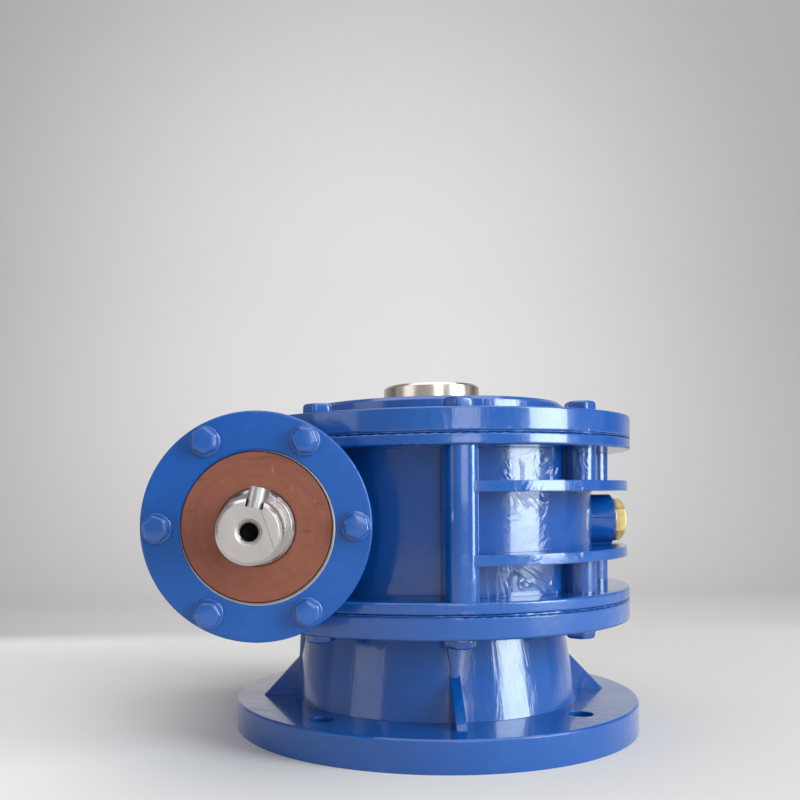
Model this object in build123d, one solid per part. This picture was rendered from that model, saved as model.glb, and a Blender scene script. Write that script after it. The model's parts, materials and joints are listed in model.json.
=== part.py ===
"""Right-angle worm gearbox with a hollow output shaft on a bell-shaped foot flange.

The output axis is Z, with the origin at the centre of the foot's underside. The worm lies
level beside it, along Y, and its shaft end points to -Y. Sizes are millimetres.
"""

import os
from math import acos, ceil, cos, degrees, pi, radians, sin, sqrt, tan

from build123d import *

# Gear set
centre_distance = 110.0
module = 5.5
worm_starts = 1
wheel_teeth = 30
pressure_angle = radians(20)
wheel_width = 36.0
wheel_rim_thickness = 12.0
wheel_overhang = 2.0
wheel_edge = 3.0
flank_clearance = 0.3
thread_half_length = 36.0
thread_root_sink = 0.5

# Worm shaft and its end
worm_shaft_r = 20.0
worm_shoulder_r = 24.0
worm_shoulder_length = 13.0
shaft_end_r = 15.0
shaft_end_length = 76.0
shaft_end_chamfer = 1.5
collar_proud = 1.5
key_width = 8.0
key_height = 9.5
key_seat_depth = 4.0
key_length = 50.0
key_end_gap = 0.5
key_angle = 77.0
centre_hole_r = 4.25
centre_hole_depth = 26.0
centre_hole_mouth = 2.0

# Hollow output shaft
output_bore_r = 21.0
output_seal_r = 31.0
output_journal_r = 32.5
wheel_seat_r = 35.0
output_collar_r = 40.0
output_collar_length = 13.0
output_projection = 12.0
output_shaft_chamfer = 1.5
output_key_width = 12.0
output_key_rise = 3.3
hub_half_length = 22.0
hub_sleeve_thickness = 14.0
hub_web_thickness = 18.0
hub_rim_thickness = 8.0
wheel_key_width = 20.0
wheel_key_height = 12.0
wheel_key_seat_depth = 7.2
wheel_key_length = 38.0
lock_screw_r = 3.0
lock_screw_length = 14.0
lock_screw_count = 6
spacer_wall = 5.0

# Bearings: outer radius, width, rollers
worm_bearing_r = 40.0
worm_bearing_width = 18.0
worm_roller_count = 10
output_bearing_r = 50.0
output_bearing_width = 18.0
output_roller_count = 12
roller_tilt = radians(13)
roller_taper = radians(2)
roller_share = 0.3
roller_clearance = 0.04
roller_length_share = 0.66
cage_rim = 1.2
cage_half_thickness = 1.0
cage_bar = 1.2
cage_setback = 1.2

# Seals
worm_seal_width = 10.0
output_seal_outer_r = 42.5
output_seal_width = 8.0
seal_running_gap = 0.05
seal_recess = 1.0
seal_edge = 0.6
seal_lip_bevel = 1.0
seal_lip_length = 2.5
seal_wall = 3.0
seal_web = 3.0
seal_lip_root = 5.0
seal_lip_flare = 2.0

# Housing
housing_half_height = 49.0
chamber_clearance = 2.0
drum_wall = 9.5
flange_thickness = 7.0
bolt_land = 15.5
flange_land = 17.0
boss_wall = 4.0
rib_thickness = 6.0
rib_offset = 20.0
rib_inset = 1.5
rib_end_gap = 3.5
rib_root = 1.0
worm_chamber_clearance = 3.0
tube_wall = 8.0
tube_inset = 10.0
tube_flange_r = 61.0
tube_flange_thickness = 15.0
edge_round = 1.2

# Covers, gaskets and their bolts
gasket_thickness = 0.5
cover_thickness = 13.0
gasket_inset = 0.5
spigot_depth = 4.0
fit_clearance = 0.1
inner_boss_r = 58.0
top_boss_r = 84.0
top_boss_rise = 12.0
crown_flat = 10.0
lower_boss_r = 60.0
boss_lip = 0.5
seal_lip = 1.5
seal_lip_rise = 4.0
seal_shoulder = 4.0
bore_chamfer = 1.2
rear_recess_wall = 6.0
rear_recess_depth = 2.0
spigot_wall = 4.0
cover_bolt_count = 8
cover_bolt_r = 5.0
cover_bolt_flats = 16.0
cover_bolt_head = 6.4
cover_bolt_grip = 10.0
input_cover_thickness = 12.0
input_spigot_length = 5.5
input_bolt_count = 6
input_bolt_circle_r = 52.0
input_bolt_r = 4.0
input_bolt_flats = 13.0
input_bolt_head = 5.3
input_bolt_grip = 12.0
washer_r = 8.0
washer_thickness = 1.6
hole_clearance = 0.5
thread_clearance = 0.05
blind_end = 1.5

# Foot: bell, ribs and base flange
foot_height = 70.5
bell_bolt_clearance = 15.25
bell_flare = 9.0
bell_wall = 8.0
base_thickness = 19.0
base_hole_offset = 15.5
base_hole_edge = 22.5
base_chamfer = 1.0
base_hole_r = 7.5
base_hole_count = 4
register_land = 7.0
register_depth = 5.0
foot_rib_count = 4
foot_rib_thickness = 6.0
foot_rib_rise = 31.0
foot_rib_inset = 17.5
foot_rib_root = 1.5

# Oil plugs
plug_boss_r = 17.0
plug_boss_rise = 15.5
plug_thread_r = 10.0
plug_flats = 24.0
plug_drop = 2.0
plug_head = 7.0
plug_washer_r = 14.0
plug_washer_thickness = 1.5
plug_thread_length = 12.0
drain_plug_angle = 60.0

# Worked out from the sizes above
lead = pi * module * worm_starts
wheel_pitch_r = module * wheel_teeth / 2
worm_pitch_r = centre_distance - wheel_pitch_r
worm_tip_r = worm_pitch_r + module
worm_root_r = worm_pitch_r - 1.2 * module
wheel_tip_r = wheel_pitch_r + module
wheel_root_r = wheel_pitch_r - 1.2 * module
wheel_outer_r = wheel_tip_r + wheel_overhang
wheel_rim_r = wheel_root_r - wheel_rim_thickness
chamber_r = wheel_outer_r + chamber_clearance
drum_r = chamber_r + drum_wall
bolt_circle_r = chamber_r + bolt_land
cover_boss_r = cover_bolt_r + boss_wall
flange_r = bolt_circle_r + flange_land
rib_r = flange_r - rib_inset
tube_half_length = flange_r - tube_inset
bolt_head_r = cover_bolt_flats / 2 / cos(pi / 6)
bell_top_r = bolt_circle_r - bolt_head_r - bell_bolt_clearance
bell_bottom_r = bell_top_r + bell_flare
base_hole_circle_r = bell_bottom_r + base_hole_offset
base_r = base_hole_circle_r + base_hole_edge
register_r = bell_bottom_r - register_land
worm_chamber_r = worm_tip_r + worm_chamber_clearance
tube_r = worm_bearing_r + tube_wall
cover_face = housing_half_height + gasket_thickness
mid_height = foot_height + cover_thickness + cover_face
boss_top = cover_face + cover_thickness + top_boss_rise
output_seal_start = boss_top - boss_lip - output_seal_width
output_bearing_end = output_seal_start - seal_lip
output_bearing_start = output_bearing_end - output_bearing_width
output_half_length = boss_top + output_projection
plug_face_r = drum_r + plug_boss_rise
input_cover_face = tube_half_length + gasket_thickness
input_cover_front = input_cover_face + input_cover_thickness
worm_bearing_end = input_cover_face - input_spigot_length
worm_bearing_start = worm_bearing_end - worm_bearing_width
worm_seal_start = input_cover_front - seal_recess - worm_seal_width
shaft_end_start = input_cover_front + collar_proud

# The gear set's own frames: Z of the output frame is up, Z of the worm frame is towards -Y
output_place = Pos(0, 0, mid_height)
worm_place = Pos(-centre_distance, 0, mid_height) * Rot(90, 0, 0)


def disc(radius, low, high):
    """Solid cylinder about Z between two heights."""
    return Pos(0, 0, low) * extrude(Circle(radius), high - low)


def ring(outer, inner, low, high):
    """Round ring about Z between two heights."""
    return Pos(0, 0, low) * extrude(Circle(outer) - Circle(inner), high - low)


def turned(*points):
    """Solid turned about Z from a closed outline of radius and height pairs."""
    return revolve(Plane.XZ * make_face(Polyline(*points, close=True)), Axis.Z)


def around(piece, radius, count, start=0.0):
    """Copies of a piece at equal angles on a circle about Z."""
    spots = [start + 360 * i / count for i in range(count)]
    return [Rot(0, 0, angle) * Pos(radius, 0, 0) * piece for angle in spots]


def both_ends(piece):
    """A piece and its copy turned over about X."""
    return [piece, Rot(180, 0, 0) * piece]


def group(pieces):
    """Separate solids kept together as one node."""
    return Compound(children=[solid for piece in pieces for solid in piece.solids()])


def hex_bolt(thread_r, flats, head, length):
    """Hexagon bolt with its seat at height zero and its chamfered head above."""
    blank = extrude(RegularPolygon(flats / 2, 6, major_radius=False), head)
    corner = flats / 2 / cos(pi / 6)
    drop = (corner - flats / 2 + 0.5) * tan(pi / 6)
    cone = turned((0, 0), (corner + 0.1, 0), (corner + 0.1, head - drop), (flats / 2 - 0.5, head), (0, head))
    return (blank & cone) + disc(thread_r, -length, 0)


def flange_plate(low, high):
    """Round flange plate with softened outer edges."""
    plate = disc(flange_r, low, high)
    return fillet(plate.edges().filter_by(Plane.XY), min(edge_round, (high - low) / 4))


def keyed_slot(width, length, depth_r, reach_r, centre):
    """Round-ended block lying along Z, from one radius out to another, on the +X side."""
    outline = SlotOverall(length, width) if length > width else Circle(width / 2)
    block = extrude(outline, reach_r - depth_r)
    return Pos(depth_r, 0, centre) * Rot(0, 90, 0) * block


def involute_angle(radius):
    """Half the angle that a wheel gap takes up at a radius."""
    base_r = wheel_pitch_r * cos(pressure_angle)
    turn = acos(min(1.0, base_r / radius))
    roll = (tan(turn) - turn) - (tan(pressure_angle) - pressure_angle)
    return pi / 2 / wheel_teeth + roll + flank_clearance / radius


def gap_point(radius, side):
    """Point of a gap's flank on the side of the wheel that faces the worm."""
    angle = side * involute_angle(radius)
    return (-radius * cos(angle), radius * sin(angle))


def wheel_gap():
    """Cutter for one gap: involute flanks, leaning along the wheel by the worm's lead angle."""
    base_r = wheel_pitch_r * cos(pressure_angle)
    top_r = wheel_outer_r + 1
    start_angle = involute_angle(base_r)
    root = [(-wheel_root_r * cos(start_angle), s * wheel_root_r * sin(start_angle)) for s in (-1, 1)]
    middle_r = (base_r + top_r) / 2
    low = [gap_point(r, -1) for r in (base_r, middle_r, top_r)]
    high = [gap_point(r, 1) for r in (top_r, middle_r, base_r)]
    outline = [
        Line(root[0], low[0]),
        ThreePointArc(*low),
        Line(low[2], high[0]),
        ThreePointArc(*high),
        Line(high[2], root[1]),
        Line(root[1], root[0]),
    ]
    reach = wheel_width / 2 + 1
    lean = lead / (2 * pi * worm_pitch_r)
    face = Pos(0, lean * reach, -reach) * make_face(outline)
    return extrude(face, 2 * reach * sqrt(1 + lean**2), dir=(0, -lean, 1))


def wheel_rim():
    """Bronze rim with a hollow-ground crown round the worm and one gap for each tooth."""
    half = wheel_width / 2
    throat_r = centre_distance - wheel_tip_r
    flat = sqrt(throat_r**2 - (centre_distance - wheel_outer_r) ** 2)
    edge = wheel_edge
    outline = [
        Line((wheel_rim_r, -half), (wheel_outer_r - edge, -half)),
        Line((wheel_outer_r - edge, -half), (wheel_outer_r, -half + edge)),
        Line((wheel_outer_r, -half + edge), (wheel_outer_r, -flat)),
        ThreePointArc((wheel_outer_r, -flat), (wheel_tip_r, 0), (wheel_outer_r, flat)),
        Line((wheel_outer_r, flat), (wheel_outer_r, half - edge)),
        Line((wheel_outer_r, half - edge), (wheel_outer_r - edge, half)),
        Line((wheel_outer_r - edge, half), (wheel_rim_r, half)),
        Line((wheel_rim_r, half), (wheel_rim_r, -half)),
    ]
    blank = revolve(Plane.XZ * make_face(outline), Axis.Z)
    gap = wheel_gap()
    gaps = [Rot(0, 0, 360 * i / wheel_teeth) * gap for i in range(wheel_teeth)]
    return blank - gaps - lock_screw_holes()


def lock_screw_holes():
    """Holes on the joint between rim and hub."""
    half = wheel_width / 2
    hole = disc(lock_screw_r + thread_clearance, half - lock_screw_length - blind_end, half)
    return around(hole, wheel_rim_r, lock_screw_count, 180 / lock_screw_count)


def lock_screws():
    """Headless screws that pin the rim to the hub."""
    half = wheel_width / 2
    screw = disc(lock_screw_r, half - lock_screw_length, half)
    return group(around(screw, wheel_rim_r, lock_screw_count, 180 / lock_screw_count))


def wheel_hub():
    """Iron hub: sleeve on the shaft, web and the ring that carries the rim."""
    half = wheel_width / 2
    sleeve_r = wheel_seat_r + hub_sleeve_thickness
    ring_r = wheel_rim_r - hub_rim_thickness
    web = hub_web_thickness / 2
    hub = turned(
        (wheel_seat_r, -hub_half_length), (sleeve_r, -hub_half_length), (sleeve_r, -web), (ring_r, -web),
        (ring_r, -half), (wheel_rim_r, -half), (wheel_rim_r, half), (ring_r, half),
        (ring_r, web), (sleeve_r, web), (sleeve_r, hub_half_length), (wheel_seat_r, hub_half_length),
    )
    keyway_top = wheel_seat_r - wheel_key_seat_depth + wheel_key_height + fit_clearance
    keyway = Pos(wheel_seat_r, 0, 0) * Box(2 * (keyway_top - wheel_seat_r), wheel_key_width, 2 * hub_half_length)
    return hub - keyway - lock_screw_holes()


def wheel_key():
    """Parallel key between the hollow shaft and the wheel hub."""
    low_r = wheel_seat_r - wheel_key_seat_depth
    return keyed_slot(wheel_key_width, wheel_key_length, low_r, low_r + wheel_key_height, 0)


def output_shaft():
    """Hollow shaft: seal lands, journals, wheel seat and collar, with a keyed bore."""
    end = output_half_length
    edge = output_shaft_chamfer
    outside = turned(
        (0, -end), (output_seal_r - edge, -end), (output_seal_r, -end + edge),
        (output_seal_r, -output_bearing_end), (output_journal_r, -output_bearing_end),
        (output_journal_r, -output_bearing_start), (wheel_seat_r, -output_bearing_start),
        (wheel_seat_r, -hub_half_length - output_collar_length),
        (output_collar_r, -hub_half_length - output_collar_length), (output_collar_r, -hub_half_length),
        (wheel_seat_r, -hub_half_length), (wheel_seat_r, hub_half_length),
        (output_journal_r, hub_half_length), (output_journal_r, output_bearing_end),
        (output_seal_r, output_bearing_end), (output_seal_r, end - edge), (output_seal_r - edge, end), (0, end),
    )
    bore = disc(output_bore_r, -end, end)
    mouth = turned((0, end - edge), (output_bore_r, end - edge), (output_bore_r + edge, end), (0, end))
    keyway = Pos(-output_bore_r, 0, 0) * Box(2 * output_key_rise, output_key_width, 2 * end)
    seat = keyed_slot(wheel_key_width, wheel_key_length, wheel_seat_r - wheel_key_seat_depth, wheel_seat_r + 1, 0)
    return outside - bore - both_ends(mouth) - keyway - seat


def shaft_spacer():
    """Sleeve between the wheel hub and the upper bearing."""
    return ring(output_journal_r + spacer_wall, output_journal_r + fit_clearance / 2, hub_half_length, output_bearing_start)


def worm_shaft():
    """Worm cut from the shaft: thread, shoulders, bearing seats and the keyed shaft end."""
    shoulder_start = worm_bearing_start - worm_shoulder_length
    tip = shaft_end_start + shaft_end_length
    edge = shaft_end_chamfer
    core = turned(
        (0, -worm_bearing_end), (worm_shaft_r, -worm_bearing_end), (worm_shaft_r, -worm_bearing_start),
        (worm_shoulder_r, -worm_bearing_start), (worm_shoulder_r, -shoulder_start),
        (worm_root_r, -shoulder_start), (worm_root_r, shoulder_start), (worm_shoulder_r, shoulder_start),
        (worm_shoulder_r, worm_bearing_start), (worm_shaft_r, worm_bearing_start),
        (worm_shaft_r, shaft_end_start - edge), (worm_shaft_r - edge, shaft_end_start),
        (shaft_end_r, shaft_end_start), (shaft_end_r, tip - edge), (shaft_end_r - edge, tip), (0, tip),
    )
    hole = disc(centre_hole_r, tip - centre_hole_depth, tip)
    deep = tip - centre_hole_mouth
    mouth = turned((0, deep), (centre_hole_r, deep), (centre_hole_r + centre_hole_mouth, tip), (0, tip))
    return core + worm_thread() - hole - mouth - key_block(2 * key_width)


def worm_thread():
    """Straight-sided thread swept along a helix and trimmed with sloping ends."""
    turns = ceil(thread_half_length / lead) + 1
    start = -turns * lead
    foot_r = worm_root_r - thread_root_sink
    foot = module * pi / 4 + (worm_pitch_r - foot_r) * tan(pressure_angle)
    top = module * pi / 4 - module * tan(pressure_angle)
    outline = Polyline(
        (foot_r, start - foot), (worm_tip_r, start - top), (worm_tip_r, start + top), (foot_r, start + foot),
        close=True,
    )
    path = Pos(0, 0, start) * Helix(pitch=lead, height=-2 * start, radius=worm_pitch_r)
    thread = sweep(Plane.XZ * make_face(outline), path=path, is_frenet=True)
    end = thread_half_length
    rise = worm_tip_r - worm_root_r
    trim = turned(
        (0, -end), (worm_root_r, -end), (worm_tip_r + 1, rise - end),
        (worm_tip_r + 1, end - rise), (worm_root_r, end), (0, end),
    )
    single = thread & trim
    return [Rot(0, 0, 360 * i / worm_starts) * single for i in range(worm_starts)]


def key_block(overrun):
    """Round-ended key at the shaft end; the overrun carries it past the shaft's face, for its open keyway."""
    low_r = shaft_end_r - key_seat_depth
    centre = shaft_end_start + shaft_end_length - key_end_gap - key_length / 2 + overrun / 2
    return Rot(0, 0, key_angle) * keyed_slot(key_width, key_length + overrun, low_r, low_r + key_height, centre)


def race_lines(bore_r, outer_r, width):
    """Middle radius, roller radius, roller length and the two raceway radii at both faces."""
    middle_r = (bore_r + outer_r) / 2
    roller_r = roller_share * (outer_r - bore_r) / 2 * cos(roller_tilt)
    length = roller_length_share * width
    gap = roller_r / cos(roller_tilt) + roller_clearance

    def race(side):
        slope = tan(roller_tilt + side * roller_taper)
        return [middle_r + side * gap + slope * z for z in (-width / 2, width / 2)]

    return middle_r, roller_r, length, race(-1), race(1)


def bearing_inner(bore_r, outer_r, width):
    """Inner ring with a conical raceway, its wide end towards +Z."""
    inner = race_lines(bore_r, outer_r, width)[3]
    return turned((bore_r, -width / 2), (inner[0], -width / 2), (inner[1], width / 2), (bore_r, width / 2))


def bearing_outer(bore_r, outer_r, width):
    """Outer ring with a conical raceway, its wide mouth towards +Z."""
    outer = race_lines(bore_r, outer_r, width)[4]
    return turned((outer[0], -width / 2), (outer_r, -width / 2), (outer_r, width / 2), (outer[1], width / 2))


def bearing_rollers(bore_r, outer_r, width, count):
    """Tapered rollers in a cage of two rings joined by bars."""
    middle_r, roller_r, length = race_lines(bore_r, outer_r, width)[:3]
    grow = length / 2 * tan(roller_taper)
    roller = Rot(0, degrees(roller_tilt), 0) * Cone(roller_r - grow, roller_r + grow, length)
    rollers = around(roller, middle_r, count, 180 / count)
    slope = tan(roller_tilt)
    reach = width / 2 - cage_setback
    rim = cage_rim
    half = cage_half_thickness

    def cage_ring(low):
        r_low = middle_r + slope * low
        r_high = middle_r + slope * (low + rim)
        return turned((r_low - half, low), (r_low + half, low), (r_high + half, low + rim), (r_high - half, low + rim))

    bar = Rot(0, degrees(roller_tilt), 0) * Box(cage_bar, cage_bar, 2 * reach / cos(roller_tilt) - cage_rim)
    bars = around(bar, middle_r, count)
    cage = cage_ring(-reach) + cage_ring(reach - rim) + bars
    return group([cage] + rollers)


def bearing_cover(boss_r):
    """Flange plate with a spigot, a bearing seat from inside and a seal seat from outside."""
    cover = flange_plate(cover_face, cover_face + cover_thickness)
    cover += disc(chamber_r - fit_clearance, cover_face - spigot_depth, cover_face)
    cover += disc(inner_boss_r, output_bearing_start - 1, cover_face)
    crown = turned(
        (0, cover_face), (boss_r, cover_face), (boss_r, boss_top - seal_lip_rise),
        (boss_r - seal_lip_rise / 2, boss_top - seal_lip_rise / 2),
        (output_seal_outer_r + crown_flat, boss_top), (0, boss_top),
    )
    cover += crown
    cover -= disc(output_bearing_r, output_bearing_start - 2, output_bearing_end)
    cover -= disc(output_seal_outer_r - seal_shoulder, output_bearing_end, boss_top)
    cover -= disc(output_seal_outer_r, output_seal_start, boss_top)
    hole = disc(cover_bolt_r + hole_clearance, cover_face - 1, cover_face + cover_thickness + 1)
    return cover - around(hole, bolt_circle_r, cover_bolt_count)


def top_cover():
    """Upper bearing cover."""
    return bearing_cover(top_boss_r)


def output_foot():
    """Lower bearing cover cast in one with the bell, its ribs and the base flange."""
    cover = Rot(180, 0, 0) * bearing_cover(lower_boss_r)
    floor = -mid_height
    under = floor + foot_height
    step = floor + base_thickness
    bell = turned(
        (bell_top_r - bell_wall, under), (bell_top_r, under), (bell_bottom_r, step),
        (base_r - base_chamfer, step), (base_r, step - base_chamfer), (base_r, floor), (register_r, floor),
        (register_r, floor + register_depth),
        (bell_bottom_r - bell_wall, floor + register_depth),
    )
    tip_r = base_r - foot_rib_inset
    root_r = bell_top_r - foot_rib_root
    side = Polyline((root_r, step), (tip_r, step), (bell_top_r, step + foot_rib_rise), (root_r, step + foot_rib_rise), close=True)
    rib = extrude(Plane.XZ * make_face(side), foot_rib_thickness / 2, both=True)
    ribs = [Rot(0, 0, 360 * i / foot_rib_count) * rib for i in range(foot_rib_count)]
    hole = disc(base_hole_r, floor - 1, step + 1)
    holes = around(hole, base_hole_circle_r, base_hole_count, 180 / base_hole_count)
    return cover + bell + ribs - holes


def housing():
    """Cast housing: wheel drum, two flanges, bolt bosses, ribs and the worm tube across it."""
    top = housing_half_height
    plate = flange_plate(top - flange_thickness, top)
    body = disc(drum_r, -top, top) + both_ends(plate)
    boss = disc(cover_boss_r, -top + 1, top - 1)
    short = disc(cover_boss_r, rib_offset, top - 1)
    seat_depth = plug_face_r - chamber_r
    for i in range(cover_bolt_count):
        angle = 360 * i / cover_bolt_count
        spot = Rot(0, 0, angle) * Pos(bolt_circle_r, 0, 0)
        if cos(radians(angle)) > 0.5:
            body += [spot * short, spot * Rot(180, 0, 0) * short]
        else:
            body += spot * boss
    body += side_ribs()
    body += Pos(-centre_distance, 0, 0) * Rot(90, 0, 0) * worm_tube()
    for angle in (0, drain_plug_angle):
        body += plug_place(angle) * disc(plug_boss_r, -seat_depth, 0)
    body -= disc(chamber_r, -top, top)
    body -= Pos(-centre_distance, 0, 0) * Rot(90, 0, 0) * worm_bores()
    hole = disc(cover_bolt_r + thread_clearance, top - cover_bolt_grip - blind_end, top)
    body -= [h for hole_up in around(hole, bolt_circle_r, cover_bolt_count) for h in both_ends(hole_up)]
    for angle in (0, drain_plug_angle):
        body -= plug_place(angle) * disc(plug_thread_r + thread_clearance, -2 * seat_depth, 0)
    return body


def side_ribs():
    """Two level ribs round the side away from the worm."""
    half_angle = 90 - degrees(rib_end_gap / drum_r)
    ribs = []
    for height in (-rib_offset, rib_offset):
        section = Pos((drum_r + rib_r - rib_root) / 2, height) * Rectangle(rib_r - drum_r + rib_root, rib_thickness)
        rib = revolve(Plane.XZ * section, Axis.Z, 2 * half_angle)
        ribs.append(Rot(0, 0, -half_angle) * rib)
    return ribs


def worm_tube():
    """Tube round the worm with a flange at each end."""
    tube = disc(tube_r, -tube_half_length, tube_half_length)
    flange = disc(tube_flange_r, tube_half_length - tube_flange_thickness, tube_half_length)
    return tube + both_ends(flange)


def worm_bores():
    """Worm chamber, bearing seats and the tapped holes of both end flanges."""
    end = tube_half_length
    cut = disc(worm_chamber_r, -end, end)
    cut += both_ends(disc(worm_bearing_r, worm_bearing_start, end))
    hole = disc(input_bolt_r + thread_clearance, end - input_bolt_grip - blind_end, end)
    for copy in around(hole, input_bolt_circle_r, input_bolt_count):
        cut += both_ends(copy)
    return cut


def input_cover():
    """Open cover round the input seal, with a spigot that holds the bearing."""
    front = input_cover_front
    cover = disc(tube_flange_r, input_cover_face, front)
    cover = fillet(cover.edges().filter_by(Plane.XY), edge_round)
    cover += ring(worm_bearing_r - fit_clearance, worm_bearing_r - spigot_wall, worm_bearing_end, input_cover_face)
    cover -= disc(worm_bearing_r - spigot_wall, worm_bearing_end, front)
    cover -= disc(worm_bearing_r, worm_seal_start, front)
    deep = front - bore_chamfer
    cover -= turned((0, front), (worm_bearing_r + bore_chamfer, front), (worm_bearing_r, deep), (0, deep))
    return cover - cover_screw_holes(front)


def rear_cover():
    """Closed cover behind the worm, with a shallow turned recess."""
    front = input_cover_front
    cover = disc(tube_flange_r, input_cover_face, front)
    cover = fillet(cover.edges().filter_by(Plane.XY), edge_round)
    cover += ring(worm_bearing_r - fit_clearance, worm_bearing_r - spigot_wall, worm_bearing_end, input_cover_face)
    cover -= disc(worm_bearing_r - rear_recess_wall, front - rear_recess_depth, front)
    return Rot(180, 0, 0) * (cover - cover_screw_holes(front))


def cover_screw_holes(front):
    """Clearance holes for the screws of a worm cover."""
    hole = disc(input_bolt_r + hole_clearance, input_cover_face - 1, front + 1)
    return around(hole, input_bolt_circle_r, input_bolt_count)


def worm_gasket():
    """Thin ring between the tube and a worm cover."""
    gasket = ring(tube_flange_r - gasket_inset, worm_bearing_r + gasket_inset, tube_half_length, input_cover_face)
    return gasket - cover_screw_holes(input_cover_face)


def cover_gasket():
    """Thin round sheet between the housing and a bearing cover."""
    sheet = ring(flange_r - gasket_inset, chamber_r + gasket_inset, housing_half_height, cover_face)
    hole = disc(cover_bolt_r + hole_clearance, housing_half_height - 1, cover_face + 1)
    return sheet - around(hole, bolt_circle_r, cover_bolt_count)


def cover_bolts():
    """Hexagon bolts of one bearing cover."""
    length = cover_thickness + gasket_thickness + cover_bolt_grip
    bolt = Pos(0, 0, cover_face + cover_thickness) * hex_bolt(cover_bolt_r, cover_bolt_flats, cover_bolt_head, length)
    return group(around(bolt, bolt_circle_r, cover_bolt_count))


def worm_cover_bolts():
    """Hexagon bolts of one worm cover, seated on their washers."""
    seat = input_cover_front + washer_thickness
    length = washer_thickness + input_cover_thickness + gasket_thickness + input_bolt_grip
    bolt = Pos(0, 0, seat) * hex_bolt(input_bolt_r, input_bolt_flats, input_bolt_head, length)
    return group(around(bolt, input_bolt_circle_r, input_bolt_count))


def worm_cover_washers():
    """Flat washers under the bolts of one worm cover."""
    washer = ring(washer_r, input_bolt_r + hole_clearance, input_cover_front, input_cover_front + washer_thickness)
    return group(around(washer, input_bolt_circle_r, input_bolt_count))


def shaft_seal(outer_r, shaft_r, low, width):
    """Rubber-covered seal: outer case, web and a lip that leans in to the shaft."""
    high = low + width
    lip_r = shaft_r + seal_running_gap
    return turned(
        (outer_r - fit_clearance / 2, low), (outer_r - fit_clearance / 2, high - seal_edge), (outer_r - seal_edge, high),
        (lip_r + seal_lip_bevel, high), (lip_r, high - seal_lip_bevel), (lip_r, high - seal_lip_bevel - seal_lip_length),
        (lip_r + seal_lip_flare, low + seal_lip_flare), (lip_r + seal_lip_root, low + seal_lip_flare),
        (lip_r + seal_lip_root, high - seal_web), (outer_r - seal_wall, high - seal_web), (outer_r - seal_wall, low),
    )


def plug_place(angle):
    """Frame of an oil plug, with its seat at height zero."""
    return Rot(0, 0, angle) * Pos(plug_face_r, 0, -plug_drop) * Rot(0, 90, 0)


def plug_washer(angle):
    """Sealing ring under an oil plug."""
    return plug_place(angle) * ring(plug_washer_r, plug_thread_r + thread_clearance, 0, plug_washer_thickness)


def oil_plug(angle):
    """Hexagon-headed oil plug."""
    plug = hex_bolt(plug_thread_r, plug_flats, plug_head, plug_thread_length)
    return plug_place(angle) * Pos(0, 0, plug_washer_thickness) * plug


def bearing(place, bore_r, outer_r, width, count, centre):
    """Inner ring, outer ring and roller set of one bearing, its wide end outwards."""
    turn = 180 if centre > 0 else 0
    spot = place * Pos(0, 0, centre) * Rot(turn, 0, 0)
    return (
        spot * bearing_inner(bore_r, outer_r, width),
        spot * bearing_outer(bore_r, outer_r, width),
        spot * bearing_rollers(bore_r, outer_r, width, count),
    )


def build_nodes():
    """Every named piece, in its place."""
    turn_over = Rot(180, 0, 0)
    nodes = {
        "gearbox_housing": output_place * housing(),
        "output_foot": output_place * output_foot(),
        "top_cover": output_place * top_cover(),
        "input_cover": worm_place * input_cover(),
        "rear_cover": worm_place * rear_cover(),
        "upper_gasket": output_place * cover_gasket(),
        "lower_gasket": output_place * turn_over * cover_gasket(),
        "input_gasket": worm_place * worm_gasket(),
        "rear_gasket": worm_place * turn_over * worm_gasket(),
        "top_cover_bolts": output_place * cover_bolts(),
        "foot_bolts": output_place * turn_over * cover_bolts(),
        "input_cover_bolts": worm_place * worm_cover_bolts(),
        "rear_cover_bolts": worm_place * turn_over * worm_cover_bolts(),
        "input_cover_washers": worm_place * worm_cover_washers(),
        "rear_cover_washers": worm_place * turn_over * worm_cover_washers(),
        "level_plug": output_place * oil_plug(0),
        "level_plug_washer": output_place * plug_washer(0),
        "drain_plug": output_place * oil_plug(drain_plug_angle),
        "drain_plug_washer": output_place * plug_washer(drain_plug_angle),
        "input_seal": worm_place * shaft_seal(worm_bearing_r, worm_shaft_r, worm_seal_start, worm_seal_width),
        "worm_shaft": worm_place * worm_shaft(),
        "input_key": worm_place * key_block(0),
        "output_shaft": output_place * output_shaft(),
        "wheel_hub": output_place * wheel_hub(),
        "wheel_rim": output_place * wheel_rim(),
        "wheel_key": output_place * wheel_key(),
        "rim_lock_screws": output_place * lock_screws(),
        "shaft_spacer": output_place * shaft_spacer(),
    }
    seal = shaft_seal(output_seal_outer_r, output_seal_r, output_seal_start, output_seal_width)
    nodes["upper_output_seal"] = output_place * seal
    nodes["lower_output_seal"] = output_place * turn_over * seal
    worm_centre = (worm_bearing_start + worm_bearing_end) / 2
    output_centre = (output_bearing_start + output_bearing_end) / 2
    worm_sizes = (worm_place, worm_shaft_r, worm_bearing_r, worm_bearing_width, worm_roller_count)
    output_sizes = (output_place, output_journal_r, output_bearing_r, output_bearing_width, output_roller_count)
    layout = {
        "front_bearing": (*worm_sizes, worm_centre),
        "rear_bearing": (*worm_sizes, -worm_centre),
        "upper_bearing": (*output_sizes, output_centre),
        "lower_bearing": (*output_sizes, -output_centre),
    }
    for name, sizes in layout.items():
        inner, outer, rollers = bearing(*sizes)
        nodes[name + "_inner_ring"] = inner
        nodes[name + "_outer_ring"] = outer
        nodes[name + "_rollers"] = rollers
    return nodes


os.makedirs("parts", exist_ok=True)
for node_name, node_shape in build_nodes().items():
    export_step(node_shape, f"parts/{node_name}.step")
    print(node_name, round(node_shape.volume))
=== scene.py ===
# Worm gearbox: enamel and metal finishes, turned and cast details, studio and camera.
import json
import math

import bmesh
import bpy
import numpy as np
from mathutils import Matrix, Vector


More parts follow.
